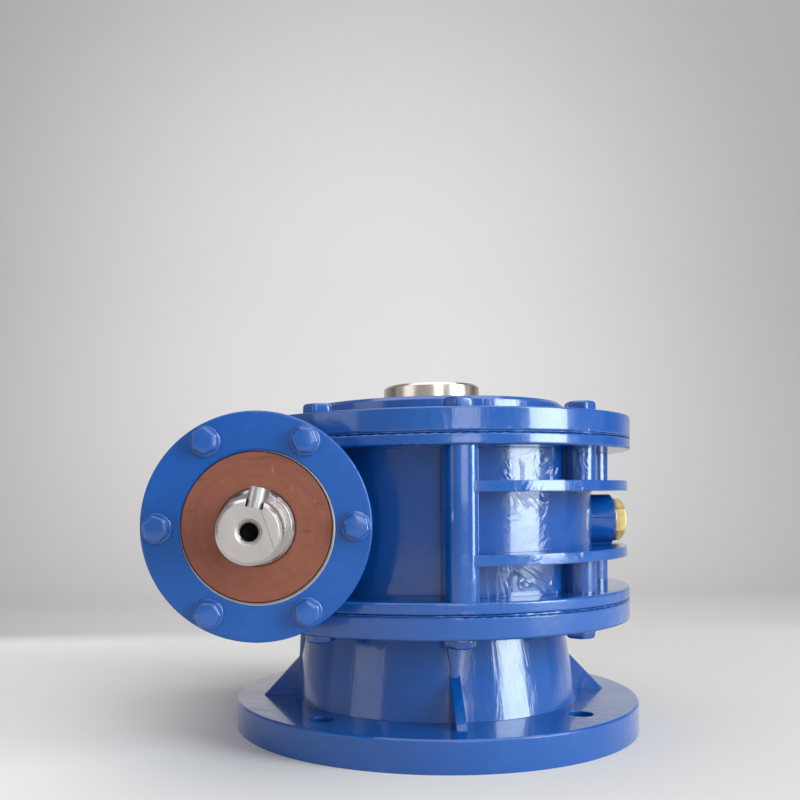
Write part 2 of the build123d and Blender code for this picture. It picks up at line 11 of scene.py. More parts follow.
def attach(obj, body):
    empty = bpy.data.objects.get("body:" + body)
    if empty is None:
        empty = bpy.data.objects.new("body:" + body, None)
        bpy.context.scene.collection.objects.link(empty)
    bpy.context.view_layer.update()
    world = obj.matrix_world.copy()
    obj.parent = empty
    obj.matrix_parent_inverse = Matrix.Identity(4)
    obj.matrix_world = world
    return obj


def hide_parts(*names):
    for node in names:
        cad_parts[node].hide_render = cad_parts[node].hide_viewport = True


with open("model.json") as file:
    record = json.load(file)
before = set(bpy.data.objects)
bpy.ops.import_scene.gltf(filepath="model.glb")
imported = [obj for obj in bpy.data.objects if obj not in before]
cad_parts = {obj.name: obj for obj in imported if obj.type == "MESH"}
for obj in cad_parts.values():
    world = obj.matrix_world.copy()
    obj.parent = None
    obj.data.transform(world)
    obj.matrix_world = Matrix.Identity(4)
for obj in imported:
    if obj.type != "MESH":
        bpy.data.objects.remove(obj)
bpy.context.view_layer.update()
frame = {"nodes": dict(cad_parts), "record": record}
nodes = frame["nodes"]
scene = bpy.context.scene
print("frame loaded,", len(nodes), "nodes")

# camera
view = {
    "place": (-0.08683, -0.62592, 0.14745),
    "yaw": 0.0305,
    "pitch": -0.0434,
    "roll": -0.0134,
    "lens": 42.81,
    "shift": (0.0875, 0.175),
}


def addCamera():
    # yaw turns from +Y towards +X, pitch lifts, roll turns the picture about the line of sight
    yaw, pitch, roll = view["yaw"], view["pitch"], view["roll"]
    ahead = Vector((math.sin(yaw) * math.cos(pitch), math.cos(yaw) * math.cos(pitch), math.sin(pitch)))
    right = Vector((math.cos(yaw), -math.sin(yaw), 0))
    up = right.cross(ahead)
    across = right * math.cos(roll) + up * math.sin(roll)
    upright = up * math.cos(roll) - right * math.sin(roll)
    camera = bpy.data.objects.new("camera", bpy.data.cameras.new("camera"))
    turn = Matrix((across, upright, -ahead)).transposed().to_4x4()
    camera.matrix_world = Matrix.Translation(view["place"]) @ turn
    camera.data.lens = view["lens"]
    camera.data.shift_x, camera.data.shift_y = view["shift"]
    scene.collection.objects.link(camera)
    scene.camera = camera


addCamera()
scene.view_settings.view_transform = "Standard"


# shader tools
class Reading:
    # a number on the surface; arithmetic on it adds Math nodes to its tree
    def __init__(self, tree, socket):
        self.tree = tree
        self.socket = socket

    def math(self, operation, *others):
        node = self.tree.nodes.new("ShaderNodeMath")
        node.operation = operation
        for place, value in enumerate((self,) + others):
            if isinstance(value, Reading):
                self.tree.links.new(value.socket, node.inputs[place])
            else:
                node.inputs[place].default_value = value
        return Reading(self.tree, node.outputs[0])

    def __add__(self, other):
        return self.math("ADD", other)

    def __mul__(self, other):
        return self.math("MULTIPLY", other)

    def __sub__(self, other):
        return self.math("SUBTRACT", other)

    def __rsub__(self, other):
        return (self * -1) + other

    def __truediv__(self, other):
        return self.math("DIVIDE", other)

    def __pow__(self, other):
        return self.math("POWER", other)

    __radd__ = __add__
    __rmul__ = __mul__

    def step(self, low, high):
        # 0 below low, 1 above high, smooth between
        share = ((self - low) / (high - low)).least(1.0).most(0.0)
        return share * share * (3 - share * 2)

    def below(self, other):
        return self.math("LESS_THAN", other)

    def above(self, other):
        return self.math("GREATER_THAN", other)

    def least(self, other):
        return self.math("MINIMUM", other)

    def most(self, other):
        return self.math("MAXIMUM", other)

    def size(self):
        return self.math("ABSOLUTE")


class Finish:
    # a material under work: fixed values go on the shader, patterns are fed to it
    def __init__(self, name, **fixed):
        self.material = bpy.data.materials.new(name)
        self.material.use_nodes = True
        self.tree = self.material.node_tree
        self.shader = self.tree.nodes["Principled BSDF"]
        for socket, value in fixed.items():
            self.shader.inputs[socket.replace("_", " ")].default_value = value
        self.coords = self.put("ShaderNodeTexCoord").outputs["Object"]

    def put(self, kind, settings=None, **values):
        node = self.tree.nodes.new(kind)
        for name, value in (settings or {}).items():
            setattr(node, name, value)
        for name, value in values.items():
            self.join(value, node.inputs[name.replace("_", " ")])
        return node

    def join(self, value, socket):
        if isinstance(value, Reading):
            value = value.socket
        if isinstance(value, bpy.types.NodeSocket):
            self.tree.links.new(value, socket)
        else:
            socket.default_value = value

    def feed(self, socket, value):
        self.join(value, self.shader.inputs[socket])

    def noise(self, scale, detail=3.0, rough=0.5, coords=None, warp=0.0):
        node = self.put("ShaderNodeTexNoise", Scale=scale, Detail=detail, Roughness=rough, Distortion=warp,
                        Vector=coords or self.coords)
        return Reading(self.tree, node.outputs["Fac"])

    def stretched(self, scale, turn=(0, 0, 0)):
        return self.put("ShaderNodeMapping", Vector=self.coords, Scale=scale, Rotation=turn).outputs[0]

    def rings(self, distance, pitch, detail, rough, warp=0.0):
        # noise that changes with the distance from an axis alone
        node = self.put("ShaderNodeCombineXYZ", X=distance * pitch)
        return self.noise(1.0, detail, rough, node.outputs[0], warp)

    def axes(self):
        node = self.put("ShaderNodeSeparateXYZ", Vector=self.coords)
        return [Reading(self.tree, node.outputs[axis]) for axis in "XYZ"]

    def blend(self, share, first, second):
        node = self.tree.nodes.new("ShaderNodeMix")
        node.data_type = "RGBA"
        self.join(share, node.inputs["Factor"])
        for value, socket in ((first, node.inputs[6]), (second, node.inputs[7])):
            if isinstance(value, tuple):
                socket.default_value = (*value, 1.0)
            else:
                self.join(value, socket)
        return node.outputs[2]

    def relief(self, height, distance, edge=0.0):
        # bump in metres, over edges rounded by a radius where one is given
        bump = self.put("ShaderNodeBump", Height=height, Distance=distance)
        if edge:
            rounded = self.put("ShaderNodeBevel", {"samples": 6}, Radius=edge)
            self.join(rounded.outputs[0], bump.inputs["Normal"])
        self.feed("Normal", bump.outputs[0])


# where the axes and the drum lie, in metres
wormAxis = (-0.110, 0, 0.133)
outputAxis = (0, 0, 0)
drumMiddle = 0.133


def lathed(finish, centre, axis):
    # distance from an axis along Y or Z through a centre
    x, y, z = finish.axes()
    across = x - centre[0]
    other = z - centre[2] if axis == "Y" else y - centre[1]
    return (across * across + other * other) ** 0.5


# paint: waves and runs are shares of the relief, edge is the radius that edges seem to have
enamel = {
    "blue": (0.0026, 0.089, 0.345),
    "deep": (0.0018, 0.060, 0.275),
    "chalk": (0.05, 0.17, 0.42),
    "chalkShare": 0.25,
    "relief": 0.0011,
    "peel": 0.05,
    "ripple": 0.10,
    "ridges": 0.55,
    "coatRoughness": 0.04,
    "leastCoat": 0.6,
}
enamelScales = {
    "waves": 14,
    "peel": 420,
    "ripple": 95,
    "sag": (110, 110, 28),
    "sagPatch": 17,
    "ridge": 48,
    "ridgePatch": 26,
    "tone": 9,
    "dust": 60,
    "dull": 22,
    "coat": 11,
}
coats = {
    "casting": {"waves": 0.55, "runs": 1.0, "roughness": 0.20, "edge": 0.0012, "gloss": 1.0},
    "cover": {"waves": 0.16, "runs": 0.10, "roughness": 0.30, "edge": 0.0008, "gloss": 0.55},
    "fastener": {"waves": 0.30, "runs": 0.25, "roughness": 0.22, "edge": 0.0011, "gloss": 1.0},
}
wrinkles = {
    "left": 0.022,
    "right": 0.082,
    "sideFade": 0.012,
    "front": 0.05,
    "frontFade": 0.01,
    "halfHeight": 0.046,
    "heightFade": 0.008,
    "seamHeight": 0.0495,
    "seamReach": 0.0035,
    "seamFade": 0.003,
    "seamFrom": -0.05,
    "seamRise": 0.05,
    "seamShare": 0.55,
    "rimFrom": 0.0606,
}
# input cover bore: bare metal edge, tilted towards the lower right as a painted highlight
bore = {"bareTo": 0.0407, "lean": 0.013, "metal": (0.74, 0.72, 0.70), "roughness": 0.3}


def wrinkleMask(f):
    # where the paint lies thick: the drum's side that faces front right, and the seams of both flanges
    w = wrinkles
    x, y, z = f.axes()
    across = (x - w["left"]).step(0, w["sideFade"]) * (w["right"] - x).step(0, w["sideFade"])
    across = across * (y * -1 - w["front"]).step(0, w["frontFade"])
    height = (z - drumMiddle).size()
    wall = across * (w["halfHeight"] - height).step(0, w["heightFade"])
    seam = (w["seamReach"] - (height - w["seamHeight"]).size()).step(0, w["seamFade"])
    seam = seam * (x - w["seamFrom"]).step(0, w["seamRise"])
    return wall.most(seam * w["seamShare"])


def rimMask(f):
    # where the paint has dried in beads: the outer edge of the input and rear covers
    return lathed(f, wormAxis, "Y").above(wrinkles["rimFrom"])


def bareBoreAndHighlight(f, colour, dull):
    # the turned edge of the input cover's bore is bare metal, widened towards the lower right as a painted
    # highlight and narrowed away at the upper left as painted shade
    x, y, z = f.axes()
    # painted highlight and painted shade: the bare ring is wider at the lower right, narrower at the upper
    # left
    lean = (x - wormAxis[0]) - (z - wormAxis[2])
    bare = (lathed(f, wormAxis, "Y") - lean * bore["lean"]).below(bore["bareTo"]) * y.below(0.0)
    f.feed("Metallic", bare)
    return f.blend(bare, colour, bore["metal"]), dull * (1 - bare) + bare * bore["roughness"]


def enamelFinish(kind, thick=None, bareMetalAndHighlight=None):
    # glossy paint over a casting: broad waves, orange peel, sags that run down, dust in the film
    coat, scale = coats[kind], enamelScales
    gloss = coat["gloss"]
    f = Finish("enamel-" + kind, Coat_Roughness=enamel["coatRoughness"], Specular_IOR_Level=0.5 * gloss)
    peel = f.noise(scale["peel"], 2, 0.45) * enamel["peel"]
    ripple = f.noise(scale["ripple"], 2, 0.5, warp=0.6) * enamel["ripple"]
    sag = f.noise(1.0, 3, 0.55, coords=f.stretched(scale["sag"]), warp=0.8)
    patch = ((f.noise(scale["sagPatch"], 2) - 0.5).most(0.0) * 4).least(1.0)
    height = f.noise(scale["waves"], 2) * coat["waves"] + peel + ripple + sag * patch * coat["runs"]
    if thick:
        # ridges where a warped noise crosses its middle, kept to patches of thick paint
        ridge = 1 - ((f.noise(scale["ridge"], 2, 0.5, warp=1.4) - 0.5).size() * 11).least(1.0)
        patch = ((f.noise(scale["ridgePatch"], 2) - 0.44).most(0.0) * 5).least(1.0)
        height = height + ridge * patch * thick(f) * enamel["ridges"]
    f.relief(height, enamel["relief"], coat["edge"])
    colour = f.blend((f.noise(scale["tone"], 4, 0.6) - 0.3) * 1.6, enamel["deep"], enamel["blue"])
    dust = (f.noise(scale["dust"], 5, 0.7) - 0.56).most(0.0) * 0.9
    colour = f.blend(dust.least(enamel["chalkShare"]), colour, enamel["chalk"])
    dull = coat["roughness"] + (f.noise(scale["dull"], 4, 0.6) - 0.5) * 0.16
    # bare metal at the cover bore, with a painted highlight
    if bareMetalAndHighlight:
        colour, dull = bareMetalAndHighlight(f, colour, dull)
    f.feed("Base Color", colour)
    f.feed("Roughness", dull)
    film = ((f.noise(scale["coat"], 3) - 0.25) * 1.6).least(1.0).most(enamel["leastCoat"])
    f.feed("Coat Weight", film * gloss)
    return f.material


# turned steel: ring pitch in rings to the metre, scratches and stains as shares
steel = {
    "worm": (0.62, 0.575, 0.55),
    "output": (0.86, 0.75, 0.66),
    "key": (0.62, 0.62, 0.62),
    "bearing": (0.72, 0.72, 0.73),
    "stained": 0.78,
    "pitch": 2200,
    "relief": 0.00012,
    "edge": 0.0003,
    "ringRelief": 0.35,
    "scratchRelief": 0.5,
    "ringDullness": 0.14,
    "stainDullness": 0.22,
}
shaftFace = {
    "place": -0.2043,
    "holeRadius": 0.00432,
    "cone": (0.0007, 0.0024),
    "coneDullness": 0.3,
    "sidePolish": 0.2,
    "holeShade": (0.075, 0.07, 0.055),
    "holeDullness": 0.8,
    "scratch": (0.006, 0.009),
    "scratchAcross": (0.956, 0.294),
    "scratchEnd": -0.011,
    "scratchHalfWidth": 0.00016,
    "scratchWander": 0.0016,
    "scratchShare": 0.6,
    "scratchColour": (0.10, 0.11, 0.09),
}


def faceMarks(f, distance, tone, dull):
    # a matt end face with one hairline scratch, polished sides, painted shade in the centre hole
    s = shaftFace
    x, y, z = f.axes()
    x, z = x - wormAxis[0], z - wormAxis[2]
    side = (y - s["place"]).above(0.0)
    (startX, startZ), (acrossX, acrossZ) = s["scratch"], s["scratchAcross"]
    across = (x - startX) * acrossX + (z - startZ) * acrossZ + (f.noise(90, 2) - 0.5) * s["scratchWander"]
    hairline = across.size().below(s["scratchHalfWidth"]) * (z - s["scratchEnd"]).above(0.0) * (1 - side)
    tone = f.blend(hairline * s["scratchShare"], tone, s["scratchColour"])
    # painted shade: the centre hole is coloured dark
    hollow = distance.below(s["holeRadius"])
    near, far = s["cone"]
    cone = distance.below(s["holeRadius"] + far) * (1 - distance.below(s["holeRadius"] + near))
    f.feed("Metallic", 1 - hollow)
    dull = (dull - side * s["sidePolish"] + cone * s["coneDullness"]).most(hollow * s["holeDullness"])
    return f.blend(hollow, tone, s["holeShade"]), dull


def steelFinish(kind, name, roughness, centre, axis, marks=None):
    # fine lathe rings, a few scratches, stains
    f = Finish(name, Metallic=1.0)
    distance = lathed(f, centre, axis)
    rings = f.rings(distance, steel["pitch"], 3, 0.6)
    scratch = f.noise(1.0, 2, 0.5, coords=f.stretched((900, 900, 40), (0.3, 0.5, 0.9)))
    scratch = (scratch - 0.66).most(0.0) * 6
    stain = f.noise(70, 4, 0.65)
    f.relief(rings * steel["ringRelief"] + scratch * steel["scratchRelief"], steel["relief"], steel["edge"])
    stained = tuple(c * steel["stained"] for c in steel[kind])
    tone = f.blend((stain - 0.35) * 1.5, stained, steel[kind])
    dull = roughness + rings * steel["ringDullness"] + (stain - 0.5) * steel["stainDullness"]
    if marks:
        tone, dull = marks(f, distance, tone, dull)
    f.feed("Base Color", tone)
    f.feed("Roughness", dull)
    return f.material


# other metals: darker and lighter tones
metals = {
    "bronze": ((0.50, 0.30, 0.11), (0.72, 0.47, 0.20)),
    "iron": ((0.10, 0.10, 0.105), (0.24, 0.24, 0.25)),
    "brass": ((0.48, 0.372, 0.156), (0.80, 0.62, 0.26)),
    "copper": ((0.432, 0.228, 0.132), (0.72, 0.38, 0.22)),
}


def bronzeFinish():
    # machined bronze with a fine grain
    f = Finish("bronze", Metallic=1.0)
    tone = f.noise(40, 4)
    f.relief(f.noise(900, 2), 0.0001)
    f.feed("Base Color", f.blend(tone, *metals["bronze"]))
    f.feed("Roughness", 0.22 + tone * 0.2)
    return f.material


def ironFinish():
    # machined casting, open grain
    f = Finish("hub-iron", Metallic=0.7)
    grain = f.noise(600, 4, 0.6)
    f.relief(grain, 0.0003)
    f.feed("Base Color", f.blend(f.noise(30, 4), *metals["iron"]))
    f.feed("Roughness", 0.42 + grain * 0.25)
    return f.material


def brassFinish(name):
    # brass or copper: tarnish in patches, small dents, soft edges
    f = Finish(name, Metallic=1.0)
    tarnish = f.noise(90, 4, 0.6)
    f.relief(f.noise(260, 3), 0.0003, 0.0006)
    f.feed("Base Color", f.blend((tarnish - 0.3) * 1.8, *metals[name]))
    f.feed("Roughness", 0.20 + tarnish * 0.25)
    return f.material


# oil seal rubber
rubber = {
    "dark": (0.155, 0.044, 0.024),
    "light": (0.25, 0.080, 0.046),
    "arc": (0.11, 0.035, 0.022),
    "arcPitch": 260,
    "mark": (0.075, 0.024, 0.016),
    "markShare": 0.55,
    "scuff": (0.42, 0.27, 0.20),
    "scuffShare": 0.3,
    "gap": (0.02, 0.009, 0.007),
    "gapFrom": (0.0392, 0.0398),
    "relief": 0.0003,
}


def sealFinish():
    # moulded rubber: flow arcs round the shaft, dark marks, pale scuffs, painted shadow in the gap at the
    # rim
    f = Finish("brown-rubber", Specular_IOR_Level=0.35)
    distance = lathed(f, wormAxis, "Y")
    arcs = f.rings(distance, rubber["arcPitch"], 2, 0.5, 0.3)
    scuff = f.noise(1.0, 2, 0.5, coords=f.stretched((480, 60, 75), (0.2, 0.5, 0.4)))
    mark = f.noise(1.0, 3, 0.6, coords=f.stretched((55, 60, 330), (0.1, 0.35, 0.2)))
    mottle = f.noise(120, 4, 0.65)
    colour = f.blend(mottle, rubber["dark"], rubber["light"])
    colour = f.blend((arcs - 0.45).most(0.0) * 0.8, colour, rubber["arc"])
    colour = f.blend(((mark - 0.63).most(0.0) * 5).least(rubber["markShare"]), colour, rubber["mark"])
    colour = f.blend(((scuff - 0.69).most(0.0) * 5).least(rubber["scuffShare"]), colour, rubber["scuff"])
    # painted shadow: near black where the seal meets the cover bore
    colour = f.blend(distance.step(*rubber["gapFrom"]), colour, rubber["gap"])
    f.feed("Base Color", colour)
    f.feed("Roughness", 0.45 + mottle * 0.25)
    f.relief(arcs * 0.7 + mottle * 0.3, rubber["relief"])
    return f.material


# gasket paper
paper = {"dark": (0.005, 0.014, 0.06), "light": (0.012, 0.03, 0.10), "relief": 0.0003, "bridged": 0.85}


def gasketFinish():
    # paper and sealant that the paint has bridged in places
    f = Finish("gasket-paper")
    fibre = f.noise(500, 3)
    bridged = (f.noise(55, 4, 0.6) - 0.42).most(0.0) * 6
    f.relief(fibre + bridged.least(1.0), paper["relief"])
    bare = f.blend(fibre, paper["dark"], paper["light"])
    f.feed("Base Color", f.blend(bridged.least(paper["bridged"]), bare, enamel["deep"]))
    f.feed("Roughness", 0.5 + fibre * 0.3)
    return f.material


# which finish a node wears: its own, or the one of its record slot
wears = {
    "gearbox_housing": "casting",
    "output_foot": "casting",
    "top_cover": "casting",
    "input_cover": "cover",
    "rear_cover": "cover",
    "worm_shaft": "wormSteel",
    "input_key": "keySteel",
}
slotFinish = {
    "blue_enamel": "fastener",
    "bare_steel": "outputSteel",
    "bearing_steel": "bearing",
    "bronze": "bronze",
    "hub_iron": "iron",
    "brass": "brass",
    "copper_washer": "copper",
    "seal_rubber": "seal",
    "gasket": "gasket",
}


def makeFinishes():
    return {
        "casting": enamelFinish("casting", wrinkleMask),
        "cover": enamelFinish("cover", rimMask, bareBoreAndHighlight),
        "fastener": enamelFinish("fastener"),
        "wormSteel": steelFinish("worm", "turned-steel-worm", 0.34, wormAxis, "Y", faceMarks),
        "outputSteel": steelFinish("output", "turned-steel-output", 0.16, outputAxis, "Z"),
        "keySteel": steelFinish("key", "drawn-steel-key", 0.28, wormAxis, "Y"),
        "bearing": steelFinish("bearing", "bearing-steel", 0.12, outputAxis, "Z"),
        "bronze": bronzeFinish(),
        "iron": ironFinish(),
        "brass": brassFinish("brass"),
        "copper": brassFinish("copper"),
        "seal": sealFinish(),
        "gasket": gasketFinish(),
    }


def dressNodes():
    slotOf = {part["node"]: part["material_slot"] for part in frame["record"]["subparts"]}
    for name, node in nodes.items():
        chosen = finishes[wears.get(name) or slotFinish[slotOf[name]]]
        for place in node.material_slots:
            place.material = chosen


finishes = makeFinishes()
dressNodes()
print("finishes made")


# mesh tools
def gridPiece(name, points, finish, replaced=()):
    # points holds one or more grids: count x rows x columns x 3; columns wrap round
    count, rows, columns = points.shape[:3]
    spots = np.arange(count * rows * columns).reshape(count, rows, columns)
    spots = np.concatenate([spots, spots[:, :, :1]], axis=2)
    corners = (spots[:, :-1, :-1], spots[:, :-1, 1:], spots[:, 1:, 1:], spots[:, 1:, :-1])
    faces = np.stack(corners, axis=-1).reshape(-1, 4)
    mesh = bpy.data.meshes.new(name)
    mesh.from_pydata(points.reshape(-1, 3).tolist(), [], faces.tolist())
    work = bmesh.new()
    work.from_mesh(mesh)
    bmesh.ops.remove_doubles(work, verts=work.verts, dist=1e-7)
    bmesh.ops.recalc_face_normals(work, faces=work.faces)
    work.to_mesh(mesh)
    work.free()
    mesh.shade_smooth()
    mesh.set_sharp_from_angle(angle=math.radians(38))
    mesh.materials.append(finishes[finish])
    piece = bpy.data.objects.new(name, mesh)
    scene.collection.objects.link(piece)
    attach(piece, "housing")
    if replaced:
        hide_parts(*replaced)


def circleSpots(radius, count, height, turns, over=False):
    # one 4x4 place per fastener: on a circle about Z, lifted to its seat, each turned its own way
    places = []
    for number in range(count):
        around = Matrix.Rotation(2 * math.pi * number / count, 4, "Z")
        own = Matrix.Rotation(math.radians(turns[number % len(turns)]), 4, "Z")
        place = around @ Matrix.Translation((radius, 0, height)) @ own
        places.append(Matrix.Rotation(math.pi, 4, "X") @ place if over else place)
    return places


def turnsAbout(degrees):
    return [Matrix.Rotation(math.radians(angle), 4, "Z") for angle in degrees]


def placed(points, places, base=Matrix.Identity(4)):
    # copies of one grid, each carried by base @ place
    moves = np.array([base @ place for place in places])
    turned = np.einsum("nij,rcj->nrci", moves[:, :3, :3], points)
    return turned + moves[:, None, None, :3, 3]


def turnedGrid(profile, columns, hexShare=0.0, sharp=16, lump=0.0):
    # r(s, t) = radius(s) * (1 + hexShare(s) * (hexagon(t) - 1)) * lumps, z(s, t) = height(s)
    # hexagon(t) = 1 / (sum of |cos(t - k 60 degrees)| ^ sharp) ^ (1 / sharp), k = 0, 1, 2
    # lumps = 1 + lump * sin(3 t + 9 radius / largest radius)
    radius, height = np.array(profile).T
    angle = np.linspace(0, 2 * np.pi, columns, endpoint=False)
    turns = angle[:, None] - np.radians([0, 60, 120])
    hexagon = (np.abs(np.cos(turns)) ** sharp).sum(1) ** (-1 / sharp)
    share = np.broadcast_to(hexShare, radius.shape)[:, None]
    lumps = 1 + lump * np.sin(3 * angle + 9 * radius[:, None] / radius.max())
    wide = radius[:, None] * (1 + share * (hexagon - 1)) * lumps
    level = np.repeat(height[:, None], columns, 1)
    return np.stack([wide * np.cos(angle), wide * np.sin(angle), level], axis=-1)


def roundedEdge(radius, height, size, steps=5):
    # quarter circle from the side to the top: (radius - size + size cos t, height - size + size sin t)
    t = np.linspace(0, np.pi / 2, steps)
    return np.column_stack([radius - size + size * np.cos(t), height - size + size * np.sin(t)])


# fasteners
fasteners = {
    "coverCount": 8,
    "coverCircle": 0.1075,
    "coverSeat": 0.0625,
    "coverThread": 0.005,
    "coverFlats": 0.016,
    "coverHead": 0.0064,
    "coverLength": 0.0235,
    "wormCount": 6,
    "wormCircle": 0.052,
    "wormSeat": 0.127,
    "wormThread": 0.004,
    "wormFlats": 0.013,
    "wormHead": 0.00514,
    "wormLength": 0.0261,
    "washerRadius": 0.0081,
    "washerHole": 0.0045,
    "washerThickness": 0.0016,
    "hexSharpness": 22,
    "lump": 0.006,
    "turns": (7, 22, -4, 13, 28, 2, 17, -9),
}


def boltGrid(thread, flats, head, length):
    # shank, rounded hexagon side, rounded top edge, shallow dome
    side = flats / 2
    shank = [(0, -length), (thread * 0.85, -length), (thread, -length + 0.15 * thread), (thread, 0)]
    foot = [(side * 0.97, 0), (side, head * 0.08), (side, head * 0.45)]
    crown = roundedEdge(side * 0.985, head, head * 0.3)
    dome = [(side * 0.5, head * 1.02), (0, head * 1.03)]
    profile = np.concatenate([shank, foot, crown, dome])
    share = np.concatenate([np.zeros(4), np.ones(3), np.linspace(1, 0.72, 5), [0.25, 0]])
    return turnedGrid(profile, 60, share, fasteners["hexSharpness"], fasteners["lump"])


def washerGrid(outer, inner, thickness):
    # a flat ring with a rounded outer edge and a broken inner one
    edge = thickness * 0.42
    top = roundedEdge(outer, thickness, edge)
    low = [(inner, 0), (outer - edge * 0.5, 0), (outer, edge * 0.5)]
    rim = [(inner + edge, thickness), (inner, thickness - edge), (inner, 0)]
    return turnedGrid(np.concatenate([low, top, rim]), 48)


def addFasteners():
    f = fasteners
    level = Matrix.Translation((0, 0, drumMiddle))
    worm = Matrix.Translation(wormAxis) @ Matrix.Rotation(math.pi / 2, 4, "X")
    cover = boltGrid(f["coverThread"], f["coverFlats"], f["coverHead"], f["coverLength"])
    small = boltGrid(f["wormThread"], f["wormFlats"], f["wormHead"], f["wormLength"])
    washer = washerGrid(f["washerRadius"], f["washerHole"], f["washerThickness"])
    broad = (f["coverCircle"], f["coverCount"])
    narrow = (f["wormCircle"], f["wormCount"])
    onCover, onWasher, underWasher = f["coverSeat"], f["wormSeat"] + f["washerThickness"], f["wormSeat"]
    sets = (
        ("topCoverBolts", cover, broad, onCover, False, level, "top_cover_bolts"),
        ("footBolts", cover, broad, onCover, True, level, "foot_bolts"),
        ("inputCoverBolts", small, narrow, onWasher, False, worm, "input_cover_bolts"),
        ("rearCoverBolts", small, narrow, onWasher, True, worm, "rear_cover_bolts"),
        ("inputCoverWashers", washer, narrow, underWasher, False, worm, "input_cover_washers"),
        ("rearCoverWashers", washer, narrow, underWasher, True, worm, "rear_cover_washers"),
    )
    for name, grid, circle, height, over, base, node in sets:
        spots = circleSpots(*circle, height, f["turns"], over)
        gridPiece(name, placed(grid, spots, base), "fastener", (node,))


addFasteners()
print("fasteners made")

# fairings that carry each foot rib on up to the flange
fairing = {
    "bellRadius": 0.0831,
    "bellSlope": 0.1748,
    "flangeUnder": 0.0705,
    "low": 0.0440,
    "high": 0.0703,
    "halfWidth": (0.0026, 0.0062),
    "proud": 0.0046,
    "sunk": 0.0004,
    "depth": 0.0024,
    "places": (0, 90, 180, 270),
}


def addFairings():
    # at share s of the height, half width = low + (high - low) * s^1.4
    # at share t of the half width, proud = (1 - t^4) * (0.35 + 0.65 * s) * proud
    f = fairing
    share = np.linspace(0, 1, 14)[:, None]
    across = np.linspace(-1, 1, 13)[None, :]
    height = f["low"] + share * (f["high"] - f["low"]) + 0 * across
    bell = f["bellRadius"] + (f["flangeUnder"] - height) * f["bellSlope"]
    narrow, broad = f["halfWidth"]
    wide = (narrow + (broad - narrow) * share ** 1.4) * across
    proud = (1 - across ** 4) * (0.35 + 0.65 * share) * f["proud"]
    front = np.stack([bell + proud - f["sunk"], wide, height], axis=-1)
    back = np.stack([bell - f["depth"], wide * 0.999, height], axis=-1)[:, ::-1]
    loop = np.concatenate([front, back], axis=1)
    middle = loop.mean(axis=1, keepdims=True).repeat(loop.shape[1], axis=1)
    grid = np.concatenate([middle[:1], loop, middle[-1:]])
    gridPiece("ribFairings", placed(grid, turnsAbout(f["places"])), "casting")


# fuller bosses that the level ribs run into
boss = {
    "circle": 0.1075,
    "halfWidth": 0.0096,
    "proud": 0.0161,
    "back": 0.004,
    "squareness": 3.2,
    "ends": (0.0906, 0.1754),
    "places": (0, 180),
}


def addBosses():
    # upright columns with a squarish round: (x / a)^n + (y / b)^n = 1, flattened behind the middle
    turn = np.linspace(0, 2 * math.pi, 48, endpoint=False)
    power = 2 / boss["squareness"]
    x = boss["halfWidth"] * np.sign(np.cos(turn)) * np.abs(np.cos(turn)) ** power
    y = boss["proud"] * np.sign(np.sin(turn)) * np.abs(np.sin(turn)) ** power
    ring = np.stack([x, -np.maximum(y, -boss["back"]) - boss["circle"]], axis=-1)[::-1]
    middle = np.full_like(ring, 0) + ring.mean(axis=0)
    low, high = boss["ends"]
    levels = ((middle, low), (ring, low), (ring, high), (middle, high))
    grid = np.stack([np.column_stack([spots, np.full(len(spots), level)]) for spots, level in levels])
    gridPiece("fullBosses", placed(grid, turnsAbout(boss["places"])), "casting")


# squeezed-out sealant under the paint: wave counts round the seam and their phases
seam = {
    "radius": 0.1242,
    "height": 0.04925,
    "bead": 0.0005,
    "leastBead": 0.62,
    "lumps": 1.5,
    "waves": ((5, 0.7), (13, 1.0), (34, 2.2), (79, 0.4)),
    "lowerTurn": 1.3,
}


def addSeamBeads():
    # a tube round each seam at turn t: thickness = bead * (least + lumps * w^1.3),
    # w = the positive part of the mean of four sines of t
    turn = np.linspace(0, 2 * math.pi, 721)[:, None]
    around = np.linspace(0, 2 * math.pi, 8, endpoint=False)[None, :]
    seams = []
    for start, height in ((0.0, seam["height"]), (seam["lowerTurn"], -seam["height"])):
        waves = sum(np.sin(count * (turn + start) + phase) for count, phase in seam["waves"])
        lumps = np.maximum(waves / len(seam["waves"]), 0) ** 1.3
        thick = seam["bead"] * (seam["leastBead"] + seam["lumps"] * lumps)
        reach = seam["radius"] + thick * np.cos(around)
        level = drumMiddle + height + thick * np.sin(around)
        seams.append(np.stack([reach * np.cos(turn), reach * np.sin(turn), level], axis=-1))
    gridPiece("seamBeads", np.stack(seams), "casting")


# parting lines on the plug bosses
parting = {"radius": 0.0170, "thickness": 0.00035, "ends": (0.099, 0.1164), "places": (0, 60)}


def addPartingLines():
    # a low round ridge along both sides of each plug boss, closed at its ends
    around = np.linspace(0, 2 * math.pi, 8, endpoint=False)[None, :]
    near, far = parting["ends"]
    along = np.array([near, near, far, far])[:, None] + 0 * around
    thick = parting["thickness"] * np.array([0, 1, 1, 0])[:, None]
    grid = np.stack([along, parting["radius"] + thick * np.cos(around), thick * np.sin(around)], axis=-1)
    sides = [Matrix.Rotation(angle, 4, "X") for angle in (0, math.pi)]
    turns = [turn @ side for turn in turnsAbout(parting["places"]) for side in sides]
    gridPiece("partingLines", placed(grid, turns, Matrix.Translation((0, 0, drumMiddle))), "casting")


addFairings()
addBosses()
addSeamBeads()
addPartingLines()
print("cast details made")

# floor and backdrop
studio = {
    "floorColour": (0.56, 0.53, 0.505),
    "floorLitLeft": (0.87, 0.855, 0.835),
    "floorFade": (-0.65, 0.25),
    "floorFront": -6.0,
    "wallColour": (0.63, 0.592, 0.575),
    "wallShadedEdge": 0.60,
    "wallCentre": 0.45,
    "wallFade": (0.15, 1.15),
    "wallDistance": 0.8,
    "bend": 0.6,
    "paperEnd": (0.36, 0.46),
    "halfWidth": 6.0,
    "height": 4.0,
}


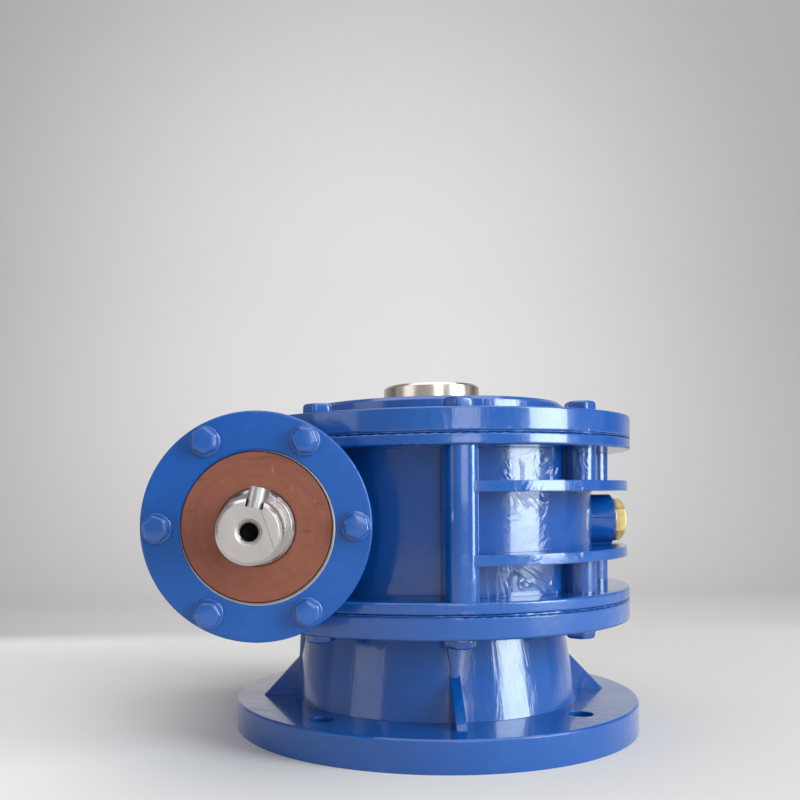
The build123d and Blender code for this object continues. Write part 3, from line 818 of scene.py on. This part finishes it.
def sweptSheet(name, profile, finish):
    # a flat profile of (y, z) points carried along X: x = +-halfWidth, (y, z) = profile
    points = np.array(profile)
    count = len(points)
    left = np.column_stack([np.full(count, -studio["halfWidth"]), points])
    right = np.column_stack([np.full(count, studio["halfWidth"]), points])
    low = np.arange(count - 1)
    faces = np.column_stack([low, low + count, low + count + 1, low + 1])
    mesh = bpy.data.meshes.new(name)
    mesh.from_pydata(np.concatenate([left, right]).tolist(), [], faces.tolist())
    mesh.shade_smooth()
    mesh.materials.append(finish)
    piece = bpy.data.objects.new(name, mesh)
    scene.collection.objects.link(piece)
    return piece


def stageFinish():
    # pale paper floor up to paperEnd, lighter towards the left as painted light, then the wall's tone,
    # which darkens away from the middle as painted shade
    f = Finish("studio-pale", Roughness=0.9)
    x, y, z = f.axes()
    up = z - studio["wallCentre"]
    # painted shade: the wall darkens away from its middle
    away = ((x * x + up * up) ** 0.5).step(*studio["wallFade"])
    wall = f.blend(away, studio["wallColour"], tuple(c * studio["wallShadedEdge"] for c in studio["wallColour"]))
    # painted light: the floor is lighter on the left
    floor = f.blend(x.step(*studio["floorFade"]), studio["floorLitLeft"], studio["floorColour"])
    f.feed("Base Color", f.blend(y.step(*studio["paperEnd"]), floor, wall))
    return f.material


def addStage():
    # a flat floor, and a wall that rises from it in a quarter circle
    back, bend = studio["wallDistance"], studio["bend"]
    finish = stageFinish()
    floor = sweptSheet("floor", [(studio["floorFront"], 0.0), (back, 0.0)], finish)
    turn = np.linspace(0, math.pi / 2, 24)
    curve = [(back + bend * math.sin(t), bend * (1 - math.cos(t))) for t in turn]
    wall = sweptSheet("backdrop", curve + [(back + bend, studio["height"])], finish)


# lamps: place, width and height, watts, colour; all of them face the drum
lamps = {
    "softTop": ((0.1, -0.2, 1.9), (2.2, 2.2), 24, (1, 1, 1)),
    "windowRight": ((1.5, -0.95, 0.55), (0.78, 1.5), 48, (0.80, 0.93, 1.0)),
    "frontFill": ((0.35, -1.9, 0.75), (0.55, 1.3), 8, (1, 1, 1)),
    "leftFill": ((-1.7, -0.9, 0.8), (1.0, 1.5), 5, (1, 1, 1)),
}
sky = {"colour": (0.93, 0.95, 1.0, 1.0), "strength": 0.42}
lampAim = (0, 0, 0.12)


def addLamps():
    for name, (place, (width, height), watts, colour) in lamps.items():
        light = bpy.data.lights.new(name, "AREA")
        light.shape = "RECTANGLE"
        light.size, light.size_y = width, height
        light.energy = watts
        light.color = colour
        lamp = bpy.data.objects.new(name, light)
        lamp.location = place
        lamp.rotation_euler = (Vector(place) - Vector(lampAim)).to_track_quat("Z", "Y").to_euler()
        scene.collection.objects.link(lamp)


def addSky():
    world = bpy.data.worlds.new("studio")
    world.use_nodes = True
    background = world.node_tree.nodes["Background"]
    background.inputs["Color"].default_value = sky["colour"]
    background.inputs["Strength"].default_value = sky["strength"]
    scene.world = world


addStage()
addLamps()
addSky()
print("studio ready")
